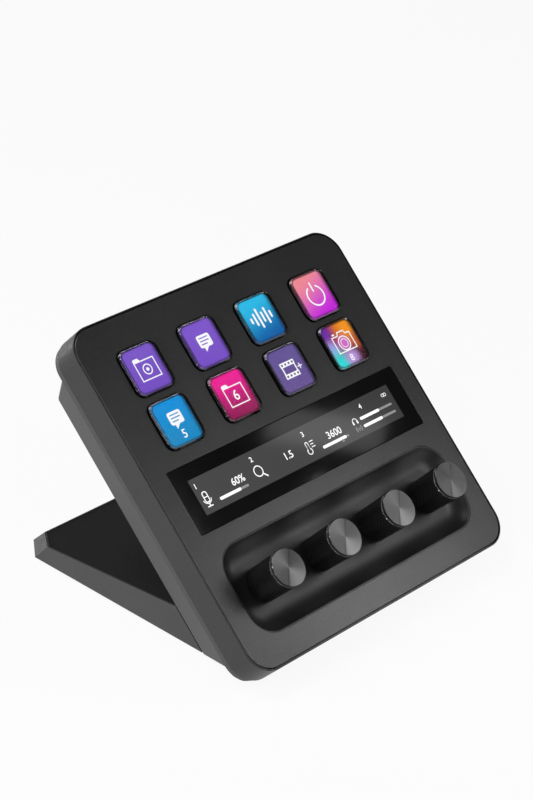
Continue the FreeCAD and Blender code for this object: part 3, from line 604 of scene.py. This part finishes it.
def ring(bm, radius, height, columns, wave=0.0, start=0):
    # one ring of points; a wave pulls every second point inwards
    if radius == 0:
        return [bm.verts.new((0, 0, height * mm))]
    points = []
    for column in range(columns):
        angle = 2 * math.pi * column / columns
        reach = (radius - wave * ((column + start) % 2)) * mm
        points.append(bm.verts.new((reach * math.cos(angle), reach * math.sin(angle), height * mm)))
    return points


def makeGrip(number, paint):
    bm = bmesh.new()
    columns = knurl["columns"]
    low = knurl["low"]
    high = knurl["high"]
    edge = knurl["edge"]
    seat = high - knurl["seatDepth"]
    mouth = low + knurl["mouthDepth"]
    rings = [ring(bm, knurl["mouthRadius"], low, columns),
             ring(bm, knurl["lowRadius"] - edge, low, columns)]
    knurlStart = len(rings)
    length = high - low - 2 * edge
    rows = round(length / knurl["pitch"])
    for row in range(rows + 1):
        height = low + edge + row / rows * length
        rings.append(ring(bm, gripRadius(height), height, columns, knurl["depth"], row))
    inside = [
        # the sleeve's end, the cap's seat, the bore round the shaft and the wider mouth, by radius and height
        (knurl["highRadius"] - edge / 2, high), (knurl["seatRadius"], high), (knurl["seatRadius"], seat),
        (knurl["bore"], seat), (knurl["bore"], mouth), (knurl["mouthRadius"], mouth),
    ]
    for radius, height in inside:
        rings.append(ring(bm, radius, height, columns))
    for row, column, face in turnRings(bm, rings, columns):
        if not knurlStart <= row < knurlStart + rows:
            continue
        corners = list(face.verts)
        # the grooves run along the diagonal that joins the two low corners
        first = 0 if (row - knurlStart + column) % 2 else 1
        a, b, c, d = (corners[(first + i) % 4] for i in range(4))
        bm.faces.remove(face)
        bm.faces.new((a, b, c))
        bm.faces.new((a, c, d))
    piece = addPiece("knurled_grip_%d" % number, bm, onPanel(*dialPlace(number)), "dial_%d" % number, paint)
    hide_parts("knob_grip_%d" % number)


cap = {
    "low": knurl["high"], "ringTop": 12.5, "ringRadius": knurl["highRadius"], "ringEdge": 0.3,
    "grooveRadius": 6.6, "grooveTop": 12.95,
    "faceRadius": 7.1, "faceEdge": 0.14, "top": 13.7,
    "dish": 0.05,         # how far the face is hollowed
    "spigotRadius": 4.95, "spigot": 0.95,
    "teeth": 0.22,
    "columns": 120,
}
spunFinish, rimFinish, darkFinish = range(3)     # the order in which makeCap takes its paints


def makeCap(number, *paints):
    bm = bmesh.new()
    spigotEnd = cap["low"] - cap["spigot"]
    ringInner = cap["ringRadius"] - cap["ringEdge"]
    teeth = cap["teeth"]
    reach = cap["faceRadius"]
    profile = [
        # radius, height, depth of the teeth, and the finish from here to the next place
        (0, spigotEnd, 0, spunFinish),
        (cap["spigotRadius"], spigotEnd, 0, spunFinish),
        (cap["spigotRadius"], cap["low"], 0, spunFinish),
        (cap["ringRadius"], cap["low"], teeth, rimFinish),
        (cap["ringRadius"], cap["ringTop"] - cap["ringEdge"], teeth, rimFinish),
        (ringInner, cap["ringTop"], teeth / 2, rimFinish),
        (cap["grooveRadius"], cap["ringTop"], 0, darkFinish),
        (cap["grooveRadius"], cap["grooveTop"], 0, darkFinish),
        (reach, cap["grooveTop"], 0, darkFinish),
        (reach, cap["top"] - cap["faceEdge"], 0, rimFinish),
        (reach - cap["faceEdge"], cap["top"], 0, spunFinish),
        (reach * 0.6, cap["top"] - cap["dish"] * 0.64, 0, spunFinish),
        (reach * 0.3, cap["top"] - cap["dish"] * 0.91, 0, spunFinish),
        (0, cap["top"] - cap["dish"], 0, spunFinish),
    ]
    rings = [ring(bm, radius, height, cap["columns"], wave) for radius, height, wave, _ in profile]
    for row, _, face in turnRings(bm, rings, cap["columns"]):
        face.material_index = profile[row][3]
    piece = addPiece("spun_cap_%d" % number, bm, onPanel(*dialPlace(number)), "dial_%d" % number, *paints)
    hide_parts("knob_cap_%d" % number)


sleevePaint = knurlPaint()
capPaints = spunPaint(), rimPaint(), trayPaint
for number in range(1, 5):
    makeGrip(number, sleevePaint)
    makeCap(number, *capPaints)

print("drawings")


def slab(bm, outline, low, high):
    # closed slab from an outline in mm
    top = [bm.verts.new((x * mm, y * mm, high * mm)) for x, y in outline]
    bottom = [bm.verts.new((x * mm, y * mm, low * mm)) for x, y in outline]
    bm.faces.new(top)
    bm.faces.new(bottom[::-1])
    for i in range(len(outline)):
        j = (i + 1) % len(outline)
        bm.faces.new((bottom[i], bottom[j], top[j], top[i]))


def arc(x, y, radius, first, last, steps=10):
    points = []
    for i in range(steps + 1):
        angle = math.radians(first + (last - first) * i / steps)
        points.append((x + radius * math.cos(angle), y + radius * math.sin(angle)))
    return points


def roundBox(x, y, width, height, corner):
    points = []
    for quarter, (across, up) in enumerate(((1, 1), (-1, 1), (-1, -1), (1, -1))):
        points += arc(x + across * (width / 2 - corner), y + up * (height / 2 - corner), corner,
                      90 * quarter, 90 * quarter + 90, 6)
    return points


def stroke(bm, points, width, level, closed=False):
    # one line of even width, with mitred corners
    low, high = level
    count = len(points)
    places = [Vector(point) for point in points]
    sides = []
    for i, place in enumerate(places):
        runs = []
        if closed or i > 0:
            runs.append((place - places[i - 1]).normalized())
        if closed or i < count - 1:
            runs.append((places[(i + 1) % count] - place).normalized())
        run = sum(runs, Vector((0, 0))).normalized()
        square = Vector((-run.y, run.x))
        mitre = max(0.4, square.dot(Vector((-runs[0].y, runs[0].x))))
        sides.append((place + square * width / 2 / mitre, place - square * width / 2 / mitre))
    loops = []
    for left, right in sides:
        loops.append([bm.verts.new((point.x * mm, point.y * mm, height * mm))
                      for height in (low, high) for point in (left, right)])
    pairs = list(zip(loops, loops[1:]))
    if closed:
        pairs.append((loops[-1], loops[0]))
    for near, far in pairs:
        for a, b in ((0, 1), (1, 3), (3, 2), (2, 0)):
            bm.faces.new((near[a], near[b], far[b], far[a]))
    if not closed:
        for loop in (loops[0], loops[-1]):
            bm.faces.new((loop[0], loop[1], loop[3], loop[2]))


def numeral(bm, text, x, y, size, level, weight):
    # plain figures, centred on a place
    low, high = level
    letters = bpy.data.curves.new("figures", "FONT")
    letters.body = text
    letters.size = size * mm
    letters.offset = weight * mm
    letters.align_x = "CENTER"
    letters.align_y = "CENTER"
    letters.extrude = (high - low) / 2 * mm
    letters.resolution_u = 3
    holder = bpy.data.objects.new("figures", letters)
    bpy.context.scene.collection.objects.link(holder)
    bpy.context.view_layer.update()
    made = bpy.data.meshes.new_from_object(holder.evaluated_get(bpy.context.evaluated_depsgraph_get()))
    made.transform(Matrix.Translation(Vector((x, y, (low + high) / 2)) * mm))
    bm.from_mesh(made)
    bpy.data.objects.remove(holder)
    bpy.data.curves.remove(letters)
    bpy.data.meshes.remove(made)


def above(level, thick=0.01):
    # the layer on top of another
    return level[1], level[1] + thick


def folder(bm, level, width):
    stroke(bm, [(-4.4, 3.2), (4.7, 3.2), (4.7, -4.1), (-4.4, -4.1)], width, level, True)
    slab(bm, [(-4.6, 3.2), (-4.6, 4.1), (-4.2, 4.6), (-2.0, 4.6), (-1.1, 3.2)], *level)


def bubble(bm, level, y, lines):
    # filled speech bubble, with its lines of writing as bars of the picture's own colour
    slab(bm, roundBox(0, y, 6.4, 5.0, 0.9), *level)
    slab(bm, [(-1.6, y - 2.4), (0.7, y - 2.4), (-1.5, y - 4.2)], *level)
    left = -2.2
    for row, reach in enumerate((4.4, 4.4, 3.0)):
        slab(lines, roundBox(left + reach / 2, y + 1.3 - row * 1.25, reach, 0.42, 0.2), *above(level))


def levelBars(bm, level, width):
    # upright bars of a sound level
    for i, high in enumerate((2.4, 5.2, 8.2, 4.4, 6.8, 3.0)):
        slab(bm, roundBox(-5.0 + i * 2.0, 0.2, width, high, width / 2 - 0.02), *level)


def powerSign(bm, level, width):
    stroke(bm, arc(0, -0.4, 4.1, 118, 422, 40), width, level)
    stroke(bm, [(0, 5.2), (0, 1.2)], width, level)


def filmStrip(bm, level, width, holes):
    # two white bands with dark holes, joined at their ends, and a plus sign
    for y in (2.15, -2.55):
        slab(bm, roundBox(-0.7, y, 7.4, 1.9, 0.15), *level)
        for i in range(4):
            slab(holes, roundBox(-3.35 + i * 1.8, y, 0.85, 0.85, 0.15), *above(level))
    for x in (-3.9, 2.55):
        stroke(bm, [(x, 1.4), (x, -1.8)], width * 1.3, level)
    stroke(bm, [(3.4, -0.4), (5.6, -0.4)], width, level)
    stroke(bm, [(4.5, 0.7), (4.5, -1.5)], width, level)


def target(bm, level, width):
    # a ring with a dot in it
    stroke(bm, arc(0.1, -0.4, 1.9, 0, 354, 30), width, level, True)
    slab(bm, arc(0.1, -0.4, 0.7, 0, 340, 17), *level)


def photoSign(bm, level, width):
    # outline of a camera with its lens and its release
    stroke(bm, [(-4.4, 3.6), (-1.2, 3.6), (-0.6, 4.9), (2.6, 4.9), (3.2, 3.6), (5.2, 3.6), (5.2, -3.0),
                (-4.4, -3.0)], width, level, True)
    stroke(bm, arc(0.4, 0.2, 2.8, 0, 354, 40), width, level, True)
    stroke(bm, arc(0.4, 0.2, 1.7, 0, 350, 28), width * 0.6, level, True)
    slab(bm, roundBox(-3.0, 4.6, 1.3, 0.7, 0.2), *level)


pictures = {
    # colours at the two ends, the direction from the first to the second, and what is drawn
    1: {"low": "7c52cc", "high": "825cd2", "way": (0.2, 1.0), "sign": "folder", "label": ""},
    2: {"low": "7e54d0", "high": "865cd6", "way": (0.2, 1.0), "sign": "bubble", "label": ""},
    3: {"low": "0064b0", "high": "2cc8f6", "way": (-0.25, 1.0), "sign": "bars", "label": ""},
    4: {"low": "d01ee6", "high": "ff929c", "way": (-0.4, 1.0), "sign": "power", "label": ""},
    5: {"low": "0090cc", "high": "0098e6", "way": (0.0, 1.0), "sign": "bubble", "label": "5"},
    6: {"low": "9c0458", "high": "ff1c9e", "way": (0.05, 1.0), "sign": "folder", "label": "6"},
    7: {"low": "6a549a", "high": "6a589e", "way": (0.0, 1.0), "sign": "film", "label": ""},
    8: {"low": "4c1228", "high": "b0203a", "way": (-0.5, 1.0), "sign": "camera", "label": "8"},
}
labels = {
    # middle and size of a picture's number, by the sign that it goes with
    "folder": (0.1, -0.6, 5.6), "bubble": (0.1, -5.3, 4.6), "camera": (0.1, -6.1, 3.8),
}
glows = [
    # soft spots of colour on the last picture: middle, reach and colour
    ((5.5, 6.5), 11.0, "ff9c1a"),
    ((7.5, -0.5), 5.0, "d8662c"),
    ((-7.5, 6.5), 7.0, "6a2cae"),
    ((-7.0, -0.5), 5.5, "a8a4f0"),
    ((-6.5, -7.5), 9.5, "2ce6e4"),
    ((0.5, -6.0), 5.5, "c49ce8"),
    ((0.2, 0.2), 4.5, "e070d8"),
]
film = {
    # lit sheet behind a key's clear top, mm
    "across": 16.4, "high": 17.4, "corner": 1.6, "low": 0.42, "top": 0.48,
    "shownCorner": 2.8, "fade": 0.9,               # corner of the lit picture and its soft edge
    "sweep": 8.5,                                  # how far from the middle the two colours reach
    "paintedShadeSide": (5.6, 8.4), "paintedShadeShare": 0.8,      # painted shade: the right-hand side is darker
    "spotMiddle": 0.15,                            # share of a soft spot that has its full colour
    "unlit": "040405", "cell": 0.25, "roughness": 0.5, "specular": 0.1,
    "signThick": 0.03, "line": 0.45, "powerLine": 0.65, "barWidth": 0.95, "weight": 0.05,
    "bubbleMiddle": 0.8, "bubbleOverNumber": 1.4,  # height of a bubble alone, and of one over a number
}


def picturePaint(number):
    # the picture behind a key: a change of colour that fades to black in its corners, with painted shade on
    # its right-hand side
    picture = pictures[number]
    look = {"Specular IOR Level": film["specular"], "Emission Strength": 1.0}
    paint = Paint("keyPicture%d" % number, look)
    x, y = paint.parts()[:2]
    way = Vector(picture["way"]).normalized()
    share = paint.step(x * way.x + y * way.y, -film["sweep"], film["sweep"])
    shade = paint.mix(share, colour(picture["low"]), colour(picture["high"]))
    if picture["sign"] == "camera":
        for (right, up), reach, code in glows:
            near = paint.math("SQRT", (x - right) * (x - right) + (y - up) * (y - up))
            spot = 1 - paint.step(near, film["spotMiddle"] * reach, reach)
            shade = paint.mix(spot, shade, colour(code))
    # painted shade darkens the right-hand side of the picture
    shade = paint.mix(paint.step(x, *film["paintedShadeSide"]) * film["paintedShadeShare"], shade, black)
    edge = roundEdge(paint, x, y, film["across"], film["high"], film["shownCorner"])
    seen = 1 - paint.step(edge, -film["fade"], 0.0)
    cell = paint.noise(film["cell"], 1.0)
    paint.feed("Base Color", colour(film["unlit"]))
    paint.feed("Roughness", film["roughness"] + cell * 0.1)
    paint.feed("Emission Color", paint.mix(seen * (0.94 + cell * 0.06), black, shade))
    return paint


signPaint = lightPaint("signWhite", ink["bright"], ink["brightGlow"])


def makePicture(number):
    picture = pictures[number]
    place = onPanel(*keyPlace(number))
    body = "key_%d" % number
    paint = picturePaint(number)
    sheet = bmesh.new()
    slab(sheet, roundBox(0, 0, film["across"], film["high"], film["corner"]), film["low"], film["top"])
    piece = addPiece("key_picture_%d" % number, sheet, place, body, paint)
    level = (film["top"], film["top"] + film["signThick"])
    width = film["line"]
    drawn = bmesh.new()
    lines = bmesh.new()     # what lies on the sign, in the picture's own colour
    sign = picture["sign"]
    label = picture["label"]
    if sign == "folder":
        folder(drawn, level, width)
        if not label:
            target(drawn, level, width)
    elif sign == "bubble":
        bubble(drawn, level, film["bubbleOverNumber" if label else "bubbleMiddle"], lines)
    elif sign == "bars":
        levelBars(drawn, level, film["barWidth"])
    elif sign == "power":
        powerSign(drawn, level, film["powerLine"])
    elif sign == "film":
        filmStrip(drawn, level, width, lines)
    elif sign == "camera":
        photoSign(drawn, level, width)
    if label:
        numeral(drawn, label, *labels[sign], level, film["weight"])
    if lines.faces:
        written = addPiece("key_lines_%d" % number, lines, place, body, paint)
    else:
        lines.free()
    piece = addPiece("key_sign_%d" % number, drawn, place, body, signPaint)


for number in pictures:
    makePicture(number)

print("touch strip")

strip = {
    "level": (-0.12, -0.09), "line": 0.42, "weight": 0.05,
    "figures": [
        # plain figures: text, middle and size
        ("60%", -33.4, -0.6, 3.95), ("1.5", -6.8, -0.8, 3.95), ("3600", 18.2, -0.8, 3.95),
        ("1", -52.0, 3.9, 2.8), ("2", -23.4, 3.8, 2.8), ("3", 4.2, 3.8, 2.8), ("4", 36.4, 3.7, 2.8),
    ],
    "bars": [
        # level bars: left end, end of the filled stretch, right end, and height on the strip
        (-44.9, -34.0, -30.1, -3.8), (9.9, 22.9, 24.3, -3.9),
        (33.2, 44.1, 51.4, -0.45), (33.1, 43.8, 51.4, -3.6),
    ],
    "barHigh": 1.15, "dimShare": 0.8,      # the unfilled stretch is slimmer
    # where along the strip each sign has its middle
    "microphone": -50.1, "magnifier": -23.0, "thermometer": 3.5, "headphones": 30.2,
    "linkedPair": 49.95, "aerial": 30.4, "marker": 20.4,
}


def levelBar(bright, dim, left, full, right, y):
    # its filled stretch bright, the rest dim
    high = strip["barHigh"]
    slim = high * strip["dimShare"]
    slab(bright, roundBox((left + full) / 2, y, full - left, high, high / 2 - 0.02), *strip["level"])
    slab(dim, roundBox((full + right) / 2, y, right - full, slim, high * 0.38), *strip["level"])


def microphone(bm, x, line):
    level = strip["level"]
    stroke(bm, roundBox(x, -0.9, 2.0, 3.9, 0.7), line, level, True)
    stroke(bm, [(x - 0.9, -0.9), (x + 0.9, -0.9)], line * 0.8, level)
    stroke(bm, arc(x, -1.5, 1.9, 190, 350, 14), line * 0.8, level)
    stroke(bm, [(x, -3.4), (x, -4.5)], line, level)
    stroke(bm, [(x - 1.3, -4.5), (x + 1.3, -4.5)], line, level)


def magnifier(bm, x, line):
    stroke(bm, arc(x, -1.0, 2.0, 0, 350, 32), line, strip["level"], True)
    stroke(bm, [(x + 1.4, -2.4), (x + 3.1, -4.1)], line * 1.3, strip["level"])


def thermometer(bm, x, line):
    # tube and bulb, with three lines of a scale
    outline = arc(x, 0.0, 0.65, 0, 180, 10) + [(x - 0.65, -2.2)]
    outline += arc(x, -3.0, 1.15, 125, 415, 22) + [(x + 0.65, -2.2)]
    stroke(bm, outline, line * 0.85, strip["level"], True)
    for y, reach in ((0.4, 1.9), (-0.7, 1.5), (-1.8, 1.9)):
        stroke(bm, [(x + 1.7, y), (x + 1.7 + reach, y)], line * 0.85, strip["level"])


def headphones(bm, x, line):
    stroke(bm, arc(x, -0.5, 1.15, 0, 180, 16), line * 0.7, strip["level"])
    for side in (-1.1, 1.1):
        slab(bm, roundBox(x + side, -1.0, 0.7, 1.3, 0.25), *strip["level"])


def linkedPair(bm, x, line):
    for side in (-0.55, 0.55):
        stroke(bm, roundBox(x + side, 3.8, 1.3, 1.1, 0.45), line * 0.55, strip["level"], True)


def aerial(bm, x, line):
    # a mast with two waves on each side
    for middle in (180, 0):
        for reach in (0.8, 1.5):
            stroke(bm, arc(x, -3.6, reach, middle - 45, middle + 45, 8), line * 0.85, strip["level"])
    stroke(bm, [(x, -3.2), (x, -4.5)], line * 0.9, strip["level"])


def marker(bm, x):
    # small triangle on a level bar
    slab(bm, [(x - 0.8, -5.3), (x + 0.8, -5.3), (x, -4.0)], *above(strip["level"], 0.02))


def makeStrip():
    line = strip["line"]
    bright = bmesh.new()
    dim = bmesh.new()
    for text, x, y, size in strip["figures"]:
        numeral(bright, text, x, y, size, strip["level"], strip["weight"])
    for ends in strip["bars"]:
        levelBar(bright, dim, *ends)
    microphone(bright, strip["microphone"], line)
    magnifier(bright, strip["magnifier"], line)
    thermometer(bright, strip["thermometer"], line)
    headphones(bright, strip["headphones"], line)
    linkedPair(bright, strip["linkedPair"], line)
    aerial(dim, strip["aerial"], line)
    marker(dim, strip["marker"])
    place = onPanel(0, panel["stripRow"])
    for name, drawn, paint in (("strip_signs", bright, signPaint),
                               ("strip_dim_signs", dim, lightPaint("signGrey", ink["dim"]))):
        piece = addPiece(name, drawn, place, "housing", paint)


makeStrip()

print("floor and light")

studio = {
    "floor": 4.0,               # half width, m
    "drop": 0.0002,             # how far the floor lies under the foot, m
    "paper": "f4f4f4",
    "shown": 0.92,              # how much of the floor's white is its own light, for the camera
    "sky": "a0a0a0", "skyStrength": 0.21,
    "backdrop": (0.04, 0.14),   # height in the sky where the white backdrop ends for reflections
}


def whiteRays(paint, low):
    # 1 for rays that see plain white: the camera's, and by the share in low reflected and transmitted ones
    camera, glossy, through = (paint.node("ShaderNodeLightPath", {}, {}, name)
                               for name in ("Is Camera Ray", "Is Glossy Ray", "Is Transmission Ray"))
    return paint.math("MINIMUM", camera + (glossy + through) * low, 1.0)


def makeFloor():
    reach = studio["floor"]
    bm = bmesh.new()
    bm.faces.new([bm.verts.new((x * reach, y * reach, -studio["drop"]))
                  for x, y in ((-1, -1), (1, -1), (1, 1), (-1, 1))])
    mesh = bpy.data.meshes.new("floor")
    bm.to_mesh(mesh)
    bm.free()
    floor = bpy.data.objects.new("floor", mesh)
    bpy.context.scene.collection.objects.link(floor)
    look = {"Base Color": colour(studio["paper"]), "Roughness": 0.9, "Specular IOR Level": 0.1}
    paint = Paint("floorWhite", look)
    share = whiteRays(paint, 1.0) * studio["shown"]
    paper = Value(paint, paint.shader.outputs[0])
    glow = paint.node("ShaderNodeEmission", {}, {"Color": white, "Strength": 1.0})
    mixed = paint.node("ShaderNodeMixShader", {}, {0: share, 1: paper, 2: glow})
    paint.join(mixed, paint.tree.nodes["Material Output"].inputs["Surface"])
    mesh.materials.append(paint.material)


lamps = {
    # place, aim, and width and height, all in metres, then watts and the turn about the aim in degrees
    "low": ((0.15, -0.19, 0.152), (0.0, -0.03, 0.05), (0.09, 0.09), 0.165, 0),
    "side": ((0.32, -0.37, 0.485), (0.0, 0.0, 0.05), (0.06, 0.06), 0.14, 0),
    "back": ((-0.3, 0.5, 1.1), (0.0, 0.0, 0.05), (0.6, 0.6), 5.6, 0),
    "left": ((-1.1, 0.1, 0.4), (0.0, 0.0, 0.05), (1.6, 0.76), 11.0, 0),
    "rim": ((-0.25, 1.3, 0.02), (-0.07, 0.05, 0.1), (0.35, 0.12), 1.6, 0),
    "glint": ((-0.465, -0.044, 0.589), (0.0, -0.044, 0.03), (0.05, 0.11), 0.34, 0),
    "sheen": ((0.389, -0.267, 0.38), (0.02, -0.017, 0.054), (0.07, 0.02), 0.006, -75),
}


def makeLights():
    for name, (place, aim, (width, height), power, roll) in lamps.items():
        light = bpy.data.lights.new(name, "AREA")
        light.shape = "RECTANGLE"
        light.size = width
        light.size_y = height
        light.energy = power
        lamp = bpy.data.objects.new(name, light)
        lamp.location = place
        turn = (Vector(aim) - Vector(place)).to_track_quat("-Z", "Y").to_matrix()
        lamp.rotation_euler = (turn @ Matrix.Rotation(math.radians(roll), 3, "Z")).to_euler()
        lamp.visible_camera = False
        bpy.context.scene.collection.objects.link(lamp)


def makeSky():
    sky = Sky("studio")
    bpy.context.scene.world = sky.world
    direction = sky.node("ShaderNodeTexCoord", {}, {}, "Generated")
    height = sky.node("ShaderNodeSeparateXYZ", {}, {0: direction}, 2)
    low = 1 - sky.step(height, *studio["backdrop"])
    grey = {"Color": colour(studio["sky"]), "Strength": studio["skyStrength"]}
    plain = sky.node("ShaderNodeBackground", {}, grey)
    glow = sky.node("ShaderNodeBackground", {}, {"Color": white, "Strength": 1.0})
    mixed = sky.node("ShaderNodeMixShader", {}, {0: whiteRays(sky, low), 1: plain, 2: glow})
    sky.join(mixed, sky.tree.nodes["World Output"].inputs["Surface"])


makeFloor()
makeLights()
makeSky()
bpy.context.scene.view_settings.view_transform = "Standard"
